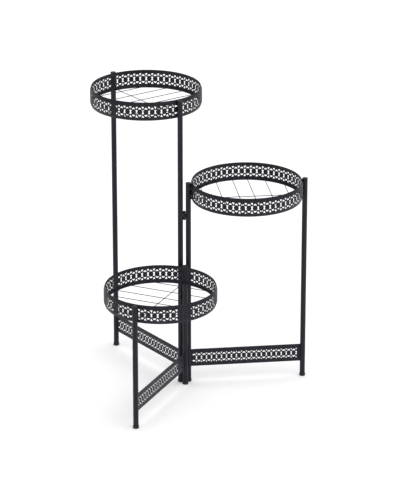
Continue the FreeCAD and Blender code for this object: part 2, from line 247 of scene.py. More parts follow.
class Shape:
    """Points and faces of one piece, gathered from simple forms."""

    def __init__(self):
        self.points = []
        self.faces = []
        self.sharp = []

    def add(self, points, faces, sharp=(), matrix=None):
        first = len(self.points)
        for point in points:
            self.points.append(matrix @ Vector(point) if matrix else Vector(point))
        self.faces += [[first + i for i in face] for face in faces]
        self.sharp += [(first + a, first + b) for a, b in sharp]

    def mesh(self, name, matrix=None):
        """Mesh of the gathered forms, smooth but for the marked edges, moved to its place."""
        mesh = bpy.data.meshes.new(name)
        mesh.from_pydata(self.points, [], self.faces)
        mesh.shade_smooth()
        marked = {tuple(sorted(pair)) for pair in self.sharp}
        for edge in mesh.edges:
            if tuple(sorted(edge.vertices)) in marked:
                edge.use_edge_sharp = True
        if matrix:
            mesh.transform(matrix)
        return mesh


def mark_creases(mesh, angle):
    """Marks edges sharper than an angle in degrees, so that flats stay flat."""
    mesh.set_sharp_from_angle(angle=math.radians(angle))
    return mesh


def lathe(profile, segments, closed=False):
    """Points and faces of a profile of (radius, height) turned about Z.

    Going up the profile, the outside is on the right.
    """
    points = []
    rings = []
    for radius, height in profile:
        if radius < 1e-9:
            rings.append([len(points)] * segments)
            points.append((0.0, 0.0, height))
            continue
        rings.append(list(range(len(points), len(points) + segments)))
        for step in range(segments):
            turn = math.tau * step / segments
            points.append((radius * math.cos(turn), radius * math.sin(turn), height))
    faces = []
    for low, high in zip(rings, rings[1:] + rings[:1] if closed else rings[1:]):
        for step in range(segments):
            after = (step + 1) % segments
            corners = [low[step], low[after], high[after], high[step]]
            face = [corner for i, corner in enumerate(corners) if corner != corners[i - 1]]
            if len(face) > 2:
                faces.append(face)
    return points, faces


def turned(name, profile, segments, matrix, creases=40.0, closed=False):
    """Mesh of a profile turned about the upright axis of its place."""
    shape = Shape()
    shape.add(*lathe(profile, segments, closed))
    return mark_creases(shape.mesh(name, matrix), creases)


def quarter(centre, radius, start, steps, rise=None):
    """Points of a quarter turn of a profile, round or oval, from a start angle in degrees."""
    rise = rise or radius
    turns = [math.radians(start + 90.0 * step / steps) for step in range(steps + 1)]
    x, z = centre
    return [(x + radius * math.cos(turn), z + rise * math.sin(turn)) for turn in turns]


def bead(start, end, across, width, depth, ripples):
    """Weld bead from start to end: an oval rod with a ripple for each drop of filler."""
    least_swell, sides = 0.86, 10
    start, end = Vector(start), Vector(end)
    along = (end - start).normalized()
    across = Vector(across).normalized()
    outwards = along.cross(across)
    rings = 4 * ripples
    points = [start]
    for ring in range(1, rings):
        share = ring / rings
        taper = math.sqrt(max(0.0, 1.0 - abs(2.0 * share - 1.0) ** 3))
        ripple = abs(math.sin(math.pi * ripples * share))
        swell = taper * (least_swell + (1.0 - least_swell) * ripple)
        centre = start.lerp(end, share)
        for side in range(sides):
            turn = math.tau * side / sides
            offset = across * (width * math.cos(turn)) + outwards * (depth * math.sin(turn))
            points.append(centre + offset * swell)
    points.append(end)
    last = len(points) - 1
    faces = []
    for side in range(sides):
        after = (side + 1) % sides
        faces.append((0, 1 + after, 1 + side))
        for ring in range(rings - 2):
            low = 1 + ring * sides
            high = low + sides
            faces.append((low + side, low + after, high + after, high + side))
        low = last - sides
        faces.append((low + side, low + after, last))
    return points, faces


def rim_profile(thickness, depth, corner, steps):
    """Section of a plate's coated edge, from face to face: (distance past its outline, height)."""
    front = []
    for step in range(steps + 1):
        turn = math.pi / 2 * step / steps
        height = thickness / 2 - corner * (1.0 - math.cos(turn))
        front.append((depth * (math.sin(turn) - 1.0), height))
    back = [(past, -height) for past, height in reversed(front)]
    return front + (back[1:] if corner >= thickness / 2 else back)


def right_of(edge):
    """Unit vector to the right of an edge of an outline."""
    return Vector((edge.y, -edge.x)).normalized()


def distance_to_run(point, start, end):
    """How far a point is from a straight run."""
    run = end - start
    share = max(0.0, min(1.0, (point - start).dot(run) / run.length_squared))
    return (point - start - run * share).length


def inside(point, outline):
    """Whether a point lies in a closed outline."""
    found = False
    for start, end in zip(outline, outline[1:] + outline[:1]):
        if (start.y > point.y) != (end.y > point.y):
            crossing = start.x + (point.y - start.y) * (end.x - start.x) / (end.y - start.y)
            if point.x < crossing:
                found = not found
    return found


def plate(outer, rims, holes, profile, grid):
    """Plate in the XZ plane, faced along Y: an outline, holes in it and a rounded edge round each.

    The outline runs anticlockwise and each hole clockwise. An edge of the outline with no rim is
    left open, for the next plate to join. The grid gives spare points that keep a bent face smooth;
    those near an edge are left out.
    """
    clearance, sharpest_mitre = 0.9 * MM, 0.6
    loops = [(outer, rims)] + [(hole, [True] * len(hole)) for hole in holes]
    outline, edges, leans = [], [], []
    for points, edged in loops:
        first = len(outline)
        count = len(points)
        for i, point in enumerate(points):
            normals = []
            if edged[i - 1]:
                normals.append(right_of(point - points[i - 1]))
            if edged[i]:
                normals.append(right_of(points[(i + 1) % count] - point))
            lean = Vector((0.0, 0.0))
            if normals:
                lean = sum(normals, Vector((0.0, 0.0))).normalized()
                lean = lean / max(sharpest_mitre, lean.dot(normals[0]))
            outline.append(point)
            leans.append(lean)
            edges.append((first + i, first + (i + 1) % count, edged[i]))
    face_loop = [point + lean * profile[0][0] for point, lean in zip(outline, leans)]
    spare = []
    for point in grid:
        if any(inside(point, hole) for hole in holes) or not inside(point, outer):
            continue
        if min(distance_to_run(point, face_loop[a], face_loop[b]) for a, b, _ in edges) > clearance:
            spare.append(point)
    flat = face_loop + spare
    found = delaunay_2d_cdt(flat, [(a, b) for a, b, _ in edges], [], 0, 1e-9)
    triangles = []
    for face in found[2]:
        middle = sum((found[0][i] for i in face), Vector((0.0, 0.0))) / len(face)
        if any(inside(middle, hole) for hole in holes) or not inside(middle, outer):
            continue
        corners = [found[3][i][0] for i in face]
        a, b, c = (flat[i] for i in corners[:3])
        if (b - a).cross(c - a) < 0:
            corners.reverse()
        triangles.append(corners)
    side = profile[0][1]
    points = [Vector((p.x, side, p.y)) for p in flat]
    back = len(points)
    points += [Vector((p.x, -side, p.y)) for p in flat]
    faces = [list(reversed(face)) for face in triangles]
    faces += [[back + i for i in face] for face in triangles]
    rings = [list(range(len(outline)))]
    for past, height in profile[1:-1]:
        ring = []
        for point, lean in zip(outline, leans):
            ring.append(len(points) if lean.length else None)
            if lean.length:
                moved = point + lean * past
                points.append(Vector((moved.x, height, moved.y)))
        rings.append(ring)
    rings.append([back + i for i in range(len(outline))])
    for a, b, edged in edges:
        if edged:
            for high, low in zip(rings, rings[1:]):
                faces.append([high[a], high[b], low[b], low[a]])
    sharp = [(a, b) for a, b, edged in edges if edged]
    sharp += [(back + a, back + b) for a, b, edged in edges if edged]
    return points, faces, sharp


# ---- Outlines of the lace ----

def bowed(start, end, bow, steps):
    """Points from start up to end along an arc that bows to the left of the run."""
    start, end = Vector(start), Vector(end)
    left = -right_of(end - start)
    points = []
    for step in range(steps):
        share = step / steps
        points.append(start.lerp(end, share) + left * (4.0 * bow * share * (1.0 - share)))
    return points


def softened(corners, steps=2):
    """Closed outline from (point, softening) pairs: each corner is cut by that much and rounded."""
    points = []
    count = len(corners)
    for i, (corner, cut) in enumerate(corners):
        if not cut:
            points.append(corner)
            continue
        before = corner + (corners[i - 1][0] - corner).normalized() * cut
        after = corner + (corners[(i + 1) % count][0] - corner).normalized() * cut
        for step in range(steps + 1):
            share = step / steps
            points.append(before.lerp(corner, share).lerp(corner.lerp(after, share), share))
    return points


def clockwise(points, x=0.0, flip=1.0):
    """Outline moved along the strip, turned over if flip is -1, and run clockwise."""
    moved = [Vector((point.x + x, point.y * flip)) for point in points]
    area = sum(a.cross(b) for a, b in zip(moved, moved[1:] + moved[:1]))
    return moved[::-1] if area > 0 else moved


def slot_outline(lace):
    """Upright slot with a waist and two pointed ends."""
    half, side = lace.slot_height / 2, lace.shoulder / 2
    bow = (lace.shoulder - lace.waist) / 2
    corners = []
    for x, end in ((side, half), (-side, -half)):
        shoulder = math.copysign(half - lace.tip, end)
        flank = bowed((x, shoulder), (x, -shoulder), -bow, 6)
        corners += [(Vector((0.0, end)), SLOT_POINT), (flank[0], SLOT_CORNER)]
        corners += [(point, 0.0) for point in flank[1:]]
        corners.append((Vector((x, -shoulder)), SLOT_CORNER))
    return softened(corners, 1)


def triangle_outline(lace):
    """Triangle that stands on its point."""
    side, low = lace.triangle_width / 2, lace.triangle_rise
    high = low + lace.triangle_height
    corners = [Vector((0.0, low)), Vector((side, high)), Vector((-side, high))]
    return softened([(corner, TRIANGLE_CORNER) for corner in corners])


def crescent_outline(lace):
    """Crescent with its crown up and its base bowed a little the same way."""
    side, low, base_bow = lace.crescent_width / 2, lace.crescent_rise, 0.1 * lace.crescent_height
    crown = bowed((side, low), (-side, low), -lace.crescent_height, 8)
    base = bowed((-side, low), (side, low), base_bow, 2)
    corners = [(crown[0], CRESCENT_TIP)] + [(point, 0.0) for point in crown[1:]]
    corners += [(base[0], CRESCENT_TIP), (base[1], 0.0)]
    return softened(corners, 1)


def seam_line(lace, pitch, height):
    """Line to the right of a slot that no opening touches, where two repeats meet: (run, rise).

    Rises are from the lace's middle line, which lies a little below the strip's.
    """
    past_slot, past_crescent, past_shoulder = 0.9 * MM, 1.2 * MM, 0.4 * MM
    border_shares = (0.2, 0.4, 0.65, 1.0)
    wide = lace.shoulder / 2 + past_slot
    narrow = pitch / 2 - lace.crescent_width / 2 - past_crescent
    slot_end = lace.slot_height / 2 - lace.tip + past_shoulder
    lace_end = lace.triangle_rise + lace.triangle_height
    between = (wide + narrow) / 2
    zigzag = [
        (wide, slot_end), (between, (slot_end + lace.crescent_rise) / 2),
        (narrow, lace.crescent_rise), (between, (lace.crescent_rise + lace_end) / 2),
        (wide, lace_end)]
    halves = []
    for edge in (height / 2 + lace.drop, height / 2 - lace.drop):
        border = [(wide, lace_end + (edge - lace_end) * share) for share in border_shares]
        halves.append(zigzag + border)
    upper, lower = halves
    lower = [(run, -rise) for run, rise in reversed(lower)]
    return [Vector(point) for point in lower + [(wide, 0.0)] + upper]


def lace_plate(lace, pitch, height, start, end, profile, slots=(), crescents=(), capped=()):
    """Stretch of a pierced strip, with a slot or a pair of crescents at each of the given places.

    It runs between two slots' places, from seam to seam, unless an end is capped: then that end is
    straight, at the given place.
    """
    grid_step = 3.4 * MM
    holes = []
    for x in slots:
        holes.append(clockwise(slot_outline(lace), x))
        holes += [clockwise(triangle_outline(lace), x, flip) for flip in (1.0, -1.0)]
    for x in crescents:
        holes += [clockwise(crescent_outline(lace), x, flip) for flip in (1.0, -1.0)]
    seam = seam_line(lace, pitch, height)
    left = [Vector((start if "start" in capped else start + point.x, point.y)) for point in seam]
    right = [Vector((end if "end" in capped else end + point.x, point.y)) for point in seam]
    across = max(1, round((right[0].x - left[0].x) / grid_step))
    shares = [step / across for step in range(1, across)]
    outer = [left[0]] + [left[0].lerp(right[0], share) for share in shares] + right
    outer += [right[-1].lerp(left[-1], share) for share in shares] + left[:0:-1]
    up = len(seam) - 1
    rims = [True] * across + ["end" in capped] * up + [True] * across + ["start" in capped] * up
    grid = [low.lerp(high, share) for low, high in zip(left, right) for share in shares]
    return plate(outer, rims, holes, profile, grid)


# ---- Nodes ----

def add_node(tree, kind, settings=None, inputs=None):
    """Adds a node with its settings, and its inputs: values, sockets, nodes or a list to join."""
    node = tree.nodes.new(kind)
    for name, value in (settings or {}).items():
        setattr(node, name, value)
    for name, value in (inputs or {}).items():
        for source in value if isinstance(value, list) else [value]:
            if isinstance(source, bpy.types.Node):
                source = source.outputs[0]
            if isinstance(source, bpy.types.NodeSocket):
                tree.links.new(source, node.inputs[name])
            else:
                node.inputs[name].default_value = source
    return node


def geometry_tree(name, inputs):
    """Node tree that takes a geometry, the named inputs and a material, and its sockets by name."""
    tree = bpy.data.node_groups.new(name, "GeometryNodeTree")
    tree.interface.new_socket("Geometry", in_out="OUTPUT", socket_type="NodeSocketGeometry")
    for title, kind in {"Geometry": "Geometry", **inputs, "Material": "Material"}.items():
        tree.interface.new_socket(title, in_out="INPUT", socket_type=f"NodeSocket{kind}")
    given = tree.nodes.new("NodeGroupInput")
    return tree, {socket.name: socket for socket in given.outputs}


def end_tree(tree, geometry, material):
    """Ends a tree with real geometry in one material."""
    real = add_node(tree, "GeometryNodeRealizeInstances", inputs={"Geometry": geometry})
    coated = add_node(tree, "GeometryNodeSetMaterial", inputs={
        "Geometry": real, "Material": material})
    add_node(tree, "NodeGroupOutput", inputs={"Geometry": coated})
    return tree


def grown_mesh(name, tree, mesh, values, matrix):
    """Plain mesh from a node tree on a carrier mesh, moved to its place."""
    carrier = bpy.data.objects.new(name, mesh)
    bpy.context.scene.collection.objects.link(carrier)
    modifier = carrier.modifiers.new(tree.name, "NODES")
    modifier.node_group = tree
    for item in tree.interface.items_tree:
        if item.in_out == "INPUT" and item.name in values:
            modifier[item.identifier] = values[item.name]
    graph = bpy.context.evaluated_depsgraph_get()
    grown = bpy.data.meshes.new_from_object(
        carrier.evaluated_get(graph), preserve_all_data_layers=True, depsgraph=graph)
    carrier.modifiers.remove(modifier)
    bpy.data.objects.remove(carrier)
    grown.name = name
    grown.transform(matrix)
    return grown


def lace_tree():
    """Repeats one stretch of lace along a strip and, if asked, bends the strip into a ring."""
    tree, values = geometry_tree("Pierced Strip", {
        "Repeats": "Int", "Pitch": "Float", "Start": "Float", "Bend": "Bool", "Radius": "Float"})
    first = add_node(tree, "ShaderNodeCombineXYZ", inputs={"X": values["Start"]})
    stride = add_node(tree, "ShaderNodeCombineXYZ", inputs={"X": values["Pitch"]})
    row = add_node(tree, "GeometryNodeMeshLine", inputs={
        "Count": values["Repeats"], "Start Location": first, "Offset": stride})
    repeats = add_node(tree, "GeometryNodeInstanceOnPoints", inputs={
        "Points": row, "Instance": values["Geometry"]})
    real = add_node(tree, "GeometryNodeRealizeInstances", inputs={"Geometry": repeats})
    strip = add_node(tree, "GeometryNodeMergeByDistance", inputs={
        "Geometry": real, "Distance": SAME_PLACE})
    point = add_node(tree, "GeometryNodeInputPosition")
    parts = add_node(tree, "ShaderNodeSeparateXYZ", inputs={0: point})
    values.update({axis: parts.outputs[axis] for axis in "XYZ"})
    for name, operation, *terms in (
            ("length", "MULTIPLY", "Repeats", "Pitch"),
            ("share", "DIVIDE", "X", "length"),
            ("turn", "MULTIPLY", "share", math.tau),
            ("reach", "ADD", "Y", "Radius"),
            ("sine", "SINE", "turn"),
            ("cosine", "COSINE", "turn"),
            ("bent x", "MULTIPLY", "reach", "sine"),
            ("bent y", "MULTIPLY", "reach", "cosine")):
        values[name] = add_node(tree, "ShaderNodeMath", {"operation": operation}, {
            i: values.get(term, term) for i, term in enumerate(terms)})
    bent = add_node(tree, "ShaderNodeCombineXYZ", inputs={
        "X": values["bent x"], "Y": values["bent y"], "Z": values["Z"]})
    ring = add_node(tree, "GeometryNodeSetPosition", inputs={
        "Geometry": strip, "Selection": values["Bend"], "Position": bent})
    closed = add_node(tree, "GeometryNodeMergeByDistance", inputs={
        "Geometry": ring, "Distance": SAME_PLACE})
    return end_tree(tree, closed, values["Material"])


def wire_grid_tree():
    """Parallel wires across a round tray, each as long as the chord it spans, with weld drops."""
    tree, values = geometry_tree("Wire Floor", {
        "Wires": "Int", "Middle Spacing": "Float", "Spacing": "Float", "Reach": "Float",
        "Wire Radius": "Float", "Drop": "Float"})
    row = add_node(tree, "GeometryNodeMeshLine", inputs={"Count": values["Wires"]})
    values["Index"] = add_node(tree, "GeometryNodeInputIndex")
    for name, operation, *terms in (
            ("gaps", "SUBTRACT", "Wires", 1.0),
            ("middle", "DIVIDE", "gaps", 2.0),
            ("rank", "SUBTRACT", "Index", "middle"),
            ("side", "SIGN", "rank"),
            ("spread", "MULTIPLY", "rank", "Spacing"),
            ("narrower", "SUBTRACT", "Middle Spacing", "Spacing"),
            ("half narrower", "DIVIDE", "narrower", 2.0),
            ("shift", "MULTIPLY", "side", "half narrower"),
            ("offset", "ADD", "spread", "shift"),
            ("reach squared", "POWER", "Reach", 2.0),
            ("offset squared", "POWER", "offset", 2.0),
            ("rest squared", "SUBTRACT", "reach squared", "offset squared"),
            ("half chord", "SQRT", "rest squared"),
            ("chord", "MULTIPLY", "half chord", 2.0)):
        values[name] = add_node(tree, "ShaderNodeMath", {"operation": operation}, {
            i: values.get(term, term) for i, term in enumerate(terms)})
    middle = add_node(tree, "ShaderNodeCombineXYZ", inputs={"X": values["offset"]})
    placed = add_node(tree, "GeometryNodeSetPosition", inputs={"Geometry": row, "Position": middle})
    rod = add_node(tree, "GeometryNodeMeshCylinder", {"fill_type": "NGON"}, {
        "Vertices": WIRE_SIDES, "Radius": values["Wire Radius"], "Depth": 1.0})
    stretch = add_node(tree, "ShaderNodeCombineXYZ", inputs={
        "X": 1.0, "Y": 1.0, "Z": values["chord"]})
    wires = add_node(tree, "GeometryNodeInstanceOnPoints", inputs={
        "Points": placed, "Instance": rod, "Rotation": (math.pi / 2, 0.0, 0.0), "Scale": stretch})
    drop = add_node(tree, "GeometryNodeMeshUVSphere", inputs={
        "Segments": DROP_SIDES, "Rings": DROP_RINGS, "Radius": values["Drop"]})
    # A drop at each end, and a smaller one below the middle, where the wire lies on the cross wire
    at_end, at_crossing, below = (1.0, 1.0, DROP_FLATNESS), (0.95, 0.95, 0.75), 0.55 * MM
    drops = []
    for sign, scale, sunk in ((-1.0, at_end, 0.0), (0.0, at_crossing, below), (1.0, at_end, 0.0)):
        along = add_node(tree, "ShaderNodeMath", {"operation": "MULTIPLY"}, {
            0: values["half chord"], 1: sign})
        spot = add_node(tree, "ShaderNodeCombineXYZ", inputs={"X": values["offset"], "Y": along})
        spots = add_node(tree, "GeometryNodeSetPosition", inputs={
            "Geometry": row, "Position": spot, "Offset": (0.0, 0.0, -sunk)})
        drops.append(add_node(tree, "GeometryNodeInstanceOnPoints", inputs={
            "Points": spots, "Instance": drop, "Scale": scale}))
    joined = add_node(tree, "GeometryNodeJoinGeometry", inputs={"Geometry": drops + [wires]})
    return end_tree(tree, joined, values["Material"])


def ring_tree():
    """Wire bent into a ring, with weld tacks that hold it to the band round it."""
    tree, values = geometry_tree("Base Ring", {
        "Ring Radius": "Float", "Wire Radius": "Float", "Tacks": "Int", "Tack": "Float"})
    circle = add_node(tree, "GeometryNodeCurvePrimitiveCircle", inputs={
        "Resolution": 120, "Radius": values["Ring Radius"]})
    section = add_node(tree, "GeometryNodeCurvePrimitiveCircle", inputs={
        "Resolution": WIRE_SIDES, "Radius": values["Wire Radius"]})
    wire = add_node(tree, "GeometryNodeCurveToMesh", inputs={
        "Curve": circle, "Profile Curve": section})
    outside = add_node(tree, "ShaderNodeMath", {"operation": "ADD"}, {
        0: values["Ring Radius"], 1: values["Wire Radius"]})
    spots = add_node(tree, "GeometryNodeMeshCircle", inputs={
        "Vertices": values["Tacks"], "Radius": outside})
    tack = add_node(tree, "GeometryNodeMeshUVSphere", inputs={
        "Segments": DROP_SIDES, "Rings": DROP_RINGS, "Radius": values["Tack"]})
    tacks = add_node(tree, "GeometryNodeInstanceOnPoints", inputs={
        "Points": spots, "Instance": tack, "Scale": (1.0, 1.0, DROP_FLATNESS)})
    joined = add_node(tree, "GeometryNodeJoinGeometry", inputs={"Geometry": [tacks, wire]})
    return end_tree(tree, joined, values["Material"])


# ---- Materials ----

def surface(name, dark, light, roughness, spread, grain, bump, metallic=0.0, ior=1.5, specular=0.5):
    """Opaque surface whose colour and roughness drift between two values, with a fine bumpy skin.

    The grain is the spacing of the bumps and the bump their depth, both in metres.
    """
    material = bpy.data.materials.new(name)
    material.use_nodes = True
    tree = material.node_tree
    tree.nodes.clear()
    patch = 60.0 * MM
    place = add_node(tree, "ShaderNodeTexCoord")
    drift = add_node(tree, "ShaderNodeTexNoise", {"noise_dimensions": "3D"}, {
        "Vector": place.outputs["Object"], "Scale": 1.0 / patch, "Detail": 3.0})
    tint = add_node(tree, "ShaderNodeMix", {"data_type": "RGBA"}, {
        0: drift.outputs["Fac"], 6: dark, 7: light})
    gloss = add_node(tree, "ShaderNodeMapRange", inputs={
        "Value": drift.outputs["Fac"], "To Min": roughness - spread, "To Max": roughness + spread})
    skin = add_node(tree, "ShaderNodeTexNoise", {"noise_dimensions": "3D"}, {
        "Vector": place.outputs["Object"], "Scale": 1.0 / grain, "Detail": 2.0})
    relief = add_node(tree, "ShaderNodeBump", inputs={
        "Height": skin.outputs["Fac"], "Strength": 1.0, "Distance": bump})
    shader = add_node(tree, "ShaderNodeBsdfPrincipled", inputs={
        "Base Color": tint.outputs[2], "Roughness": gloss, "Normal": relief,
        "Metallic": metallic, "IOR": ior, "Specular IOR Level": specular})
    add_node(tree, "ShaderNodeOutputMaterial", inputs={"Surface": shader})
    return material


def finishes():
    """What each slot's material is called and made with."""
    chosen = bpy.context.scene.stand_finish
    satin, bump = chosen.coat_roughness, chosen.coat_bump
    coat = {"dark": chosen.coat_dark, "light": chosen.coat_light, "specular": 0.22}
    return {
        # Sprayed and baked polyester powder: a satin black skin with a faint violet cast, gone
        # over with orange peel, which breaks up the edges of the highlights along a tube. Real
        # peel is about 1 mm apart; it is drawn at 2.5 mm so that it shows.
        "post_powder_coat": dict(
            coat, name="Satin Powder Coat on Tube", roughness=satin, spread=0.04,
            grain=2.5 * MM, bump=bump),
        # The same coat on pressed strip: slightly thicker and duller, as powder gathers at the
        # many edges of the openings.
        "pierced_powder_coat": dict(
            coat, name="Satin Powder Coat on Pierced Strip", roughness=satin + 0.04, spread=0.05,
            grain=2.0 * MM, bump=bump),
        # The same coat on drawn wire, smoother because it runs round the thin rod.
        "wire_powder_coat": dict(
            coat, name="Satin Powder Coat on Wire", roughness=satin, spread=0.04,
            grain=1.5 * MM, bump=0.5 * bump),
        # Injection moulded black polyethylene: duller and a little waxy next to the coat.
        "cap_plastic": dict(
            name="Moulded Black Polyethylene", dark=chosen.plastic_dark,
            light=chosen.plastic_light, roughness=0.52, spread=0.04, grain=1.2 * MM,
            bump=0.6 * bump, ior=1.51, specular=0.3),
        # Blackened steel rivet, rubbed at its heads so that bare metal shines through.
        "pin_steel": dict(
            name="Blackened Steel", dark=chosen.steel_dark, light=chosen.steel_light,
            roughness=0.38, spread=0.08, grain=1.0 * MM, bump=0.5 * bump, metallic=1.0),
    }


materials = {}


def finish_of(slot):
    """Material of a slot, made on first use."""
    if slot not in materials:
        materials[slot] = surface(**finishes()[slot])
    return materials[slot]


def show(name, mesh, body, slot, *nodes):
    """Shows a mesh as a piece that rides on a body, takes a slot's finish and stands for nodes."""
    mesh.materials.clear()
    mesh.materials.append(finish_of(slot))
    piece = bpy.data.objects.new(name, mesh)
    bpy.context.scene.collection.objects.link(piece)
    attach(piece, body)
    if nodes:
        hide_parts(*nodes)


# ---- Pieces ----

class STAND_OT_posts(bpy.types.Operator):
    """Makes the six round posts: open tubes with their ends eased"""

    bl_idname = "stand.posts"
    bl_label = "Posts"

    def execute(self, context):
        sizes, ease = context.scene.stand_sizes, 0.2 * MM
        outside, bore = sizes.tube_radius, sizes.tube_radius - sizes.tube_wall
        for place in places.values():
            low, high = sizes.foot_floor, place.top - sizes.plug_head
            profile = [
                (bore, low), (outside - ease, low), (outside, low + ease),
                (outside, high - ease), (outside - ease, high), (bore, high)]
            for end, x in place.ends.items():
                name = f"{place.name}_{end}_post_tube"
                mesh = turned(name, profile, 64, place.at(x), creases=30.0, closed=True)
                show(name, mesh, place.body, "post_powder_coat", f"{place.name}_{end}_post")
        return {"FINISHED"}


class STAND_OT_caps(bpy.types.Operator):
    """Makes the moulded plugs in the post tops and the cups on the post feet"""

    bl_idname = "stand.caps"
    bl_label = "Plugs and Feet"

    def execute(self, context):
        sizes = context.scene.stand_sizes
        plug, foot = self.plug_profile(sizes), self.foot_profile(sizes)
        for place in places.values():
            for end, x in place.ends.items():
                for part, shown, profile, level in (
                        ("plug", "plug_head", plug, place.top), ("foot", "foot_cup", foot, 0.0)):
                    name = f"{place.name}_{end}_{shown}"
                    mesh = turned(name, profile, 48, place.at(x, level))
                    show(name, mesh, place.body, "cap_plastic", f"{place.name}_{end}_{part}")
        return {"FINISHED"}

    def plug_profile(self, sizes):
        """Domed head with a rounded edge, and a stem inside the tube that narrows at its tip."""
        radius, head, length = sizes.plug_radius, sizes.plug_head, 12.0 * MM
        stem, taper = sizes.tube_radius - sizes.tube_wall - 0.1 * MM, 0.6 * MM
        crown, corner, flank, chamfer = 0.35 * MM, 1.2 * MM, 0.4 * MM, 0.25 * MM
        profile = [
            (0.0, -length), (stem - taper, -length), (stem, taper - length), (stem, -head),
            (radius - chamfer, -head), (radius, chamfer - head)]
        profile += quarter((radius - corner, flank - head), corner, 0.0, 6, head - flank - crown)
        for share in (0.75, 0.5, 0.25, 0.0):
            profile.append(((radius - corner) * share, -crown * share * share))
        return profile

    def foot_profile(self, sizes):
        """Cup with a rounded base, sides that narrow a little and a thin lip round the tube."""
        radius, height, floor = sizes.foot_radius, sizes.foot_height, sizes.foot_floor
        socket, corner, lip, draft = sizes.tube_radius + 0.1 * MM, 1.3 * MM, 0.35 * MM, 0.12 * MM
        return [
            (0.0, 0.0), *quarter((radius - corner, corner), corner, -90.0, 6),
            (radius - draft, height - lip), (radius - lip, height),
            (socket, height), (socket, floor), (0.0, floor)]


def strip_rim(sizes, thickness):
    """Edge of a pierced strip: pressed corners rounded off by the coat, all the way across."""
    return rim_profile(thickness, sizes.strip_edge, thickness / 2, 2)


class STAND_OT_tray_bands(bpy.types.Operator):
    """Makes the three tray bands: a pierced strip bent into a ring"""

    bl_idname = "stand.tray_bands"
    bl_label = "Tray Bands"

    def execute(self, context):
        sizes, lace = context.scene.stand_sizes, context.scene.stand_band_lace
        girth = math.tau * sizes.band_radius
        repeats = round(girth / lace.pitch)
        pitch = girth / repeats
        shape = Shape()
        shape.add(*lace_plate(
            lace, pitch, sizes.band_height, -pitch, 0.0, strip_rim(sizes, sizes.band_thickness),
            slots=[0.0], crescents=[-pitch / 2]))
        for point in shape.points:
            point.z -= lace.drop
            point.y -= self.lean(sizes, abs(point.z))
        unit = shape.mesh("band_repeat")
        tree = lace_tree()
        for place in places.values():
            name = f"{place.name}_tray_band_lace"
            centre = place.at(place.width / 2, place.top - sizes.band_height / 2)
            mesh = grown_mesh(name, tree, unit, {
                "Repeats": repeats, "Pitch": pitch, "Start": 0.0, "Bend": True,
                "Radius": sizes.band_radius - sizes.band_thickness / 2,
                "Material": finish_of("pierced_powder_coat"),
            }, centre @ Matrix.Rotation(math.pi / 2 + TRAY_TURN[place.name], 4, "Z"))
            show(name, mesh, place.body, "pierced_powder_coat", f"{place.name}_tray_band")
        return {"FINISHED"}

    def lean(self, sizes, rise):
        """How far the band stands in at a rise from its middle.

        It is straight along the lace, and each border leans to its rim. The bend between them is
        eased over a share of the border's height on either side.
        """
        ease = 0.2
        share = (rise - sizes.band_height / 2) / sizes.border_height + 1.0
        if share < -ease:
            return 0.0
        if share < ease:
            return sizes.border_lean * (share + ease) ** 2 / (4.0 * ease)
        return sizes.border_lean * share


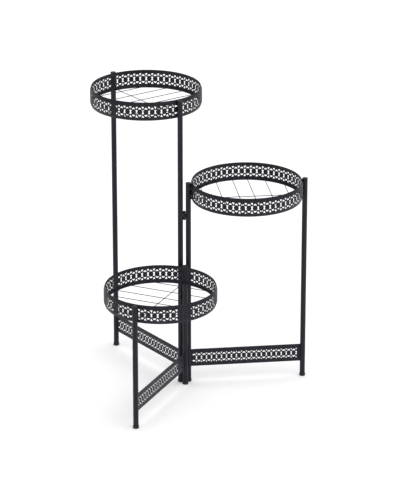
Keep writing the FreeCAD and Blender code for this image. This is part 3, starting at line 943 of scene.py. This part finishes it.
class STAND_OT_crossbars(bpy.types.Operator):
    """Makes the three crossbars: pierced flat strips with plain ends, and their welds"""

    bl_idname = "stand.crossbars"
    bl_label = "Crossbars"

    def execute(self, context):
        sizes, lace = context.scene.stand_sizes, context.scene.stand_bar_lace
        tree = lace_tree()
        tuck = 0.3 * MM
        pitch, rim = lace.pitch, strip_rim(sizes, sizes.bar_thickness)
        unit = Shape()
        unit.add(*lace_plate(
            lace, pitch, sizes.bar_height, -pitch, 0.0, rim, slots=[0.0], crescents=[-pitch / 2]))
        repeat = unit.mesh("bar_repeat")
        for place in places.values():
            start, end = sizes.tube_radius, place.width - sizes.tube_radius
            slots = self.fitting(lace, place, start, end, 0.0, lace.triangle_width)
            crescents = self.fitting(lace, place, start, end, pitch / 2, lace.crescent_width)
            first, last = slots[0], slots[-1]
            middle = grown_mesh("bar_middle", tree, repeat, {
                "Repeats": len(slots) - 1, "Pitch": pitch, "Start": first + pitch, "Bend": False,
                "Radius": 0.0, "Material": finish_of("pierced_powder_coat")}, Matrix())
            ends = Shape()
            ends.add(*lace_plate(
                lace, pitch, sizes.bar_height, start - tuck, first, rim,
                slots=[first], crescents=[x for x in crescents if x < first], capped=["start"]))
            ends.add(*lace_plate(
                lace, pitch, sizes.bar_height, last, end + tuck, rim,
                crescents=[x for x in crescents if x > last], capped=["end"]))
            work = bmesh.new()
            work.from_mesh(middle)
            work.from_mesh(ends.mesh("bar_ends"))
            bmesh.ops.remove_doubles(work, verts=work.verts, dist=SAME_PLACE)
            name = f"{place.name}_crossbar_strip"
            mesh = bpy.data.meshes.new(name)
            work.to_mesh(mesh)
            work.free()
            level = sizes.bar_bottom + sizes.bar_height / 2 - lace.drop
            mesh.transform(place.at(0.0, level))
            show(name, mesh, place.body, "pierced_powder_coat", f"{place.name}_crossbar")
            self.welds(sizes, place)
        return {"FINISHED"}

    def fitting(self, lace, place, start, end, along, width):
        """Places along the bar of the openings of one kind that lie whole between its ends."""
        plain_end = 2.0 * MM
        margin = plain_end + width / 2
        reach = math.ceil((end - start) / 2 / lace.pitch) + 1
        middle = place.width / 2 + BAR_SHIFT[place.name] + along
        spots = [middle + repeat * lace.pitch for repeat in range(-reach, reach + 1)]
        return [x for x in spots if start + margin <= x <= end - margin]

    def welds(self, sizes, place):
        """Two short beads on each face of the strip at each post."""
        shape = Shape()
        run, inset, out = 8.0 * MM, 3.0 * MM, 0.3 * MM
        side = sizes.bar_thickness / 2 + out
        low, high = sizes.bar_bottom + inset, sizes.bar_bottom + sizes.bar_height - inset - run
        for x in (sizes.tube_radius, place.width - sizes.tube_radius):
            for y in (side, -side):
                for z in (low, high):
                    shape.add(*bead(
                        (x, y, z), (x, y, z + run), (1, 0, 0),
                        width=0.9 * MM, depth=0.75 * MM, ripples=6))
        name = f"{place.name}_crossbar_weld_beads"
        show(name, shape.mesh(name, place.matrix), place.body, "post_powder_coat")


class STAND_OT_tray_wires(bpy.types.Operator):
    """Makes the wire floor of each tray: base ring, cross wire and floor wires"""

    bl_idname = "stand.tray_wires"
    bl_label = "Tray Wires"

    def execute(self, context):
        sizes = context.scene.stand_sizes
        slot = "wire_powder_coat"
        # The wires end on the band's leaning border, which stands further out the higher they lie
        rim = sizes.band_radius - sizes.band_thickness - sizes.border_lean
        slope = sizes.border_lean / sizes.border_height
        ring_wire, wire = sizes.ring_wire / 2, sizes.floor_wire / 2
        ring_radius = rim - ring_wire * (math.hypot(1.0, slope) - slope)
        grid, ring = wire_grid_tree(), ring_tree()
        carrier = bpy.data.meshes.new("carrier")
        for place in places.values():
            bottom, centre = place.top - sizes.band_height, place.width / 2
            name = f"{place.name}_tray_base_ring_wire"
            mesh = grown_mesh(name, ring, carrier, {
                "Ring Radius": ring_radius, "Wire Radius": ring_wire, "Tacks": 12,
                "Tack": 0.9 * MM, "Material": finish_of(slot),
            }, place.at(centre, bottom + ring_wire))
            mesh.shade_smooth()
            show(name, mesh, place.body, slot, f"{place.name}_tray_base_ring")
            name = f"{place.name}_tray_floor_wire_grid"
            mesh = grown_mesh(name, grid, carrier, {
                "Wires": 6, "Middle Spacing": sizes.middle_gap, "Spacing": sizes.wire_gap,
                "Reach": rim + slope * (sizes.ring_wire + 2 * wire), "Wire Radius": wire,
                "Drop": 1.15 * MM, "Material": finish_of(slot),
            }, place.at(centre, bottom + sizes.ring_wire + 3 * wire))
            mark_creases(mesh, 50.0)
            show(name, mesh, place.body, slot, f"{place.name}_tray_floor_wires")
            level = bottom + sizes.ring_wire + wire
            self.cross_wire(place, place.at(centre, level), rim + slope * sizes.ring_wire, wire)
        return {"FINISHED"}

    def cross_wire(self, place, matrix, wall, wire):
        """Wire along the frame, with a weld drop where each end meets the band."""
        shape = Shape()
        turn = Matrix.Rotation(math.pi / 2, 4, "Y")
        profile = [(0.0, -wall), (wire, -wall), (wire, wall), (0.0, wall)]
        shape.add(*lathe(profile, WIRE_SIDES), matrix=turn)
        half, low, inside_wall = 1.3 * MM, -0.3 * MM, 0.1 * MM
        for side in (-1.0, 1.0):
            x = side * (wall - inside_wall)
            shape.add(*bead(
                (x, -half, low), (x, half, low), (1, 0, 0),
                width=0.9 * MM, depth=1.0 * MM, ripples=2))
        name = f"{place.name}_tray_cross_wire_rod"
        mesh = mark_creases(shape.mesh(name, matrix), 50.0)
        show(name, mesh, place.body, "wire_powder_coat", f"{place.name}_tray_cross_wire")


class STAND_OT_tray_welds(bpy.types.Operator):
    """Makes the short weld runs that hold each tray between its posts"""

    bl_idname = "stand.tray_welds"
    bl_label = "Tray Welds"

    def execute(self, context):
        sizes = context.scene.stand_sizes
        # A run follows the gap between post and leaning border, wide at the rim
        run, at_rim, at_lace = 4.4 * MM, 1.1 * MM, 0.4 * MM
        wide, narrow = sizes.tube_radius + at_rim, sizes.tube_radius + at_lace
        for place in places.values():
            inset = place.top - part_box(f"{place.name}_tray_welds")[1].z
            shape = Shape()
            for rim, up in ((place.top, -1.0), (place.top - sizes.band_height, 1.0)):
                outer, inner = rim + up * inset, rim + up * (inset + run)
                for side, base in ((1.0, 0.0), (-1.0, place.width)):
                    shape.add(*bead(
                        (base + side * wide, 0.0, outer), (base + side * narrow, 0.0, inner),
                        (0, 1, 0), width=2.6 * MM, depth=1.3 * MM, ripples=3))
            name = f"{place.name}_tray_weld_beads"
            show(name, shape.mesh(name, place.matrix), place.body, "post_powder_coat",
                 f"{place.name}_tray_welds")
        return {"FINISHED"}


class STAND_OT_hinges(bpy.types.Operator):
    """Makes the four hinges: two fixed knuckles, a moving knuckle and a riveted pin each"""

    bl_idname = "stand.hinges"
    bl_label = "Hinges"

    def execute(self, context):
        sizes, coat = context.scene.stand_sizes, "post_powder_coat"
        for name, parent in HINGED.items():
            axis = joint_places[f"{name}_frame"]
            turn = Matrix.Rotation(places[name].bearing, 4, "Z")
            for level in ("upper", "lower"):
                hinge = f"{name}_{level}_hinge"
                low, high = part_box(f"{hinge}_pin")
                place = Matrix.Translation((axis.x, axis.y, (low.z + high.z) / 2)) @ turn
                for part, shown, levels, side, frame_name in (
                        ("fixed_knuckles", "fixed_knuckle_pair", (-1, 1), -1.0, parent),
                        ("moving_knuckle", "moving_knuckle_barrel", (0,), 1.0, name)):
                    shape = Shape()
                    for rank in levels:
                        self.knuckle(sizes, shape, rank, side)
                    title = f"{hinge}_{shown}"
                    show(title, shape.mesh(title, place), f"{frame_name}_frame", coat,
                         f"{hinge}_{part}")
                title = f"{hinge}_rivet_pin"
                mesh = turned(title, self.pin_profile(sizes, high.z - low.z), 32, place)
                show(title, mesh, f"{parent}_frame", "pin_steel", f"{hinge}_pin")
        return {"FINISHED"}

    def knuckle(self, sizes, shape, rank, side):
        """Rolled barrel with a short lug to the post on its side, and a bead down each flank."""
        radius, height, edge = sizes.knuckle_radius, sizes.knuckle_height, 0.15 * MM
        bore, bore_sides = sizes.pin_radius + 0.05 * MM, 20
        lug_reach, lug_half, steps = 3.75 * MM, 1.8 * MM, 24
        opening = math.pi - math.asin(lug_half / radius)
        outline = []
        for step in range(steps + 1):
            turn = -opening + 2 * opening * step / steps
            outline.append(Vector((radius * math.cos(turn), radius * math.sin(turn))))
        outline += [Vector((-lug_reach, lug_half)), Vector((-lug_reach, -lug_half))]
        hole = []
        for step in range(bore_sides):
            turn = -math.tau * step / bore_sides
            hole.append(Vector((bore * math.cos(turn), bore * math.sin(turn))))
        middle = rank * (height + sizes.knuckle_gap)
        turn = Matrix.Rotation(0.0 if side < 0 else math.pi, 4, "Z")
        flat = Matrix.Rotation(math.pi / 2, 4, "X")
        matrix = Matrix.Translation((0.0, 0.0, middle)) @ turn @ flat
        shape.add(*plate(
            outline, [True] * len(outline), [hole], rim_profile(height, edge, edge, 2), []),
            matrix=matrix)
        run, x, out = height / 2 - 0.5 * MM, side * 3.0 * MM, 2.15 * MM
        for y in (-out, out):
            shape.add(*bead(
                (x, y, middle - run), (x, y, middle + run), (1, 0, 0),
                width=0.75 * MM, depth=0.65 * MM, ripples=4))

    def pin_profile(self, sizes, length):
        """Rivet: a plain shank with a domed head at each end."""
        head, flank = 1.2 * MM, 0.25 * MM
        radius, shank, neck = sizes.pin_head_radius, sizes.pin_radius, length / 2 - head
        low = quarter((0.0, -neck - flank), radius, -90.0, 6, head - flank)
        high = quarter((0.0, neck + flank), radius, 0.0, 6, head - flank)
        low[0], high[-1] = (0.0, -length / 2), (0.0, length / 2)
        return low + [(radius, -neck), (shank, -neck), (shank, neck), (radius, neck)] + high


# ---- Stage ----

class STAND_OT_stage(bpy.types.Operator):
    """Makes the studio: pale floor, soft lights and the camera"""

    bl_idname = "stand.stage"
    bl_label = "Stage"

    def execute(self, context):
        scene, stage = context.scene, context.scene.stand_stage
        self.floor(scene, stage)
        self.lights(scene, stage)
        self.camera(scene, stage)
        scene.view_settings.view_transform = "Standard"
        return {"FINISHED"}

    def floor(self, scene, stage):
        """Round sheet just below the feet."""
        count, below = 96, 0.05 * MM
        turns = [math.tau * i / count for i in range(count)]
        shape = Shape()
        shape.add([(stage.floor_radius * math.cos(turn), stage.floor_radius * math.sin(turn), 0.0)
                   for turn in turns], [list(range(count))])
        mesh = shape.mesh("studio_floor", Matrix.Translation((0.0, 0.0, -below)))
        # White seamless paper: plain, matt and a little darker than the white behind it.
        mesh.materials.append(surface(
            "White Seamless Paper", stage.floor_dark, stage.floor_light, roughness=0.9,
            spread=0.02, grain=2.0 * MM, bump=0.0, specular=0.2))
        floor = bpy.data.objects.new("studio_floor", mesh)
        scene.collection.objects.link(floor)

    def lights(self, scene, stage):
        """White light from all round, and a wide soft one from nearly overhead."""
        world = bpy.data.worlds.new("Studio")
        world.use_nodes = True
        background = world.node_tree.nodes["Background"]
        background.inputs["Color"].default_value = (1.0, 1.0, 1.0, 1.0)
        background.inputs["Strength"].default_value = stage.sky
        scene.world = world
        data = bpy.data.lights.new("overhead_diffuser", "SUN")
        data.energy = stage.sun
        data.angle = stage.sun_spread
        sun = bpy.data.objects.new("overhead_diffuser", data)
        sun.rotation_euler = stage.sun_turn
        scene.collection.objects.link(sun)

    def camera(self, scene, stage):
        """Camera at its distance from the aim, looking at it."""
        data = bpy.data.cameras.new("camera")
        data.sensor_width = 36.0
        data.lens = stage.lens
        data.clip_end = 100.0
        camera = bpy.data.objects.new("camera", data)
        a, e = stage.azimuth, stage.elevation
        back = Vector((math.sin(a) * math.cos(e), -math.cos(a) * math.cos(e), math.sin(e)))
        camera.location = Vector(stage.aim) + back * stage.distance
        camera.rotation_euler = (-back).to_track_quat("-Z", "Y").to_euler()
        scene.collection.objects.link(camera)
        scene.camera = camera


class STAND_PT_panel(bpy.types.Panel):
    """Lists the stand's pieces, sizes and stage"""

    bl_label = "Plant Stand"
    bl_idname = "STAND_PT_panel"
    bl_space_type = "VIEW_3D"
    bl_region_type = "UI"
    bl_category = "Plant Stand"

    def draw(self, context):
        for step in STEPS:
            self.layout.operator(step.bl_idname)
        for group in GROUPS:
            box = self.layout.box()
            box.label(text=group.removeprefix("stand_").replace("_", " ").title())
            settings = getattr(context.scene, group)
            for name in settings.__annotations__:
                box.prop(settings, name)


GROUPS = {
    "stand_sizes": StandSizes,
    "stand_band_lace": LaceSizes,
    "stand_bar_lace": LaceSizes,
    "stand_finish": StandFinish,
    "stand_stage": StageSettings,
}
STEPS = (
    STAND_OT_posts,
    STAND_OT_caps,
    STAND_OT_tray_bands,
    STAND_OT_crossbars,
    STAND_OT_tray_wires,
    STAND_OT_tray_welds,
    STAND_OT_hinges,
    STAND_OT_stage,
)
CLASSES = (StandSizes, LaceSizes, StandFinish, StageSettings, *STEPS, STAND_PT_panel)


def register():
    for entry in CLASSES:
        bpy.utils.register_class(entry)
    for name, kind in GROUPS.items():
        setattr(bpy.types.Scene, name, PointerProperty(type=kind))


def unregister():
    for name in GROUPS:
        delattr(bpy.types.Scene, name)
    for entry in reversed(CLASSES):
        bpy.utils.unregister_class(entry)


def main():
    register()
    for name, size in BAR_LACE.items():
        setattr(bpy.context.scene.stand_bar_lace, name, size * MM)
    for step in STEPS:
        group, name = step.bl_idname.split(".")
        getattr(getattr(bpy.ops, group), name)()


if __name__ == "__main__":
    main()
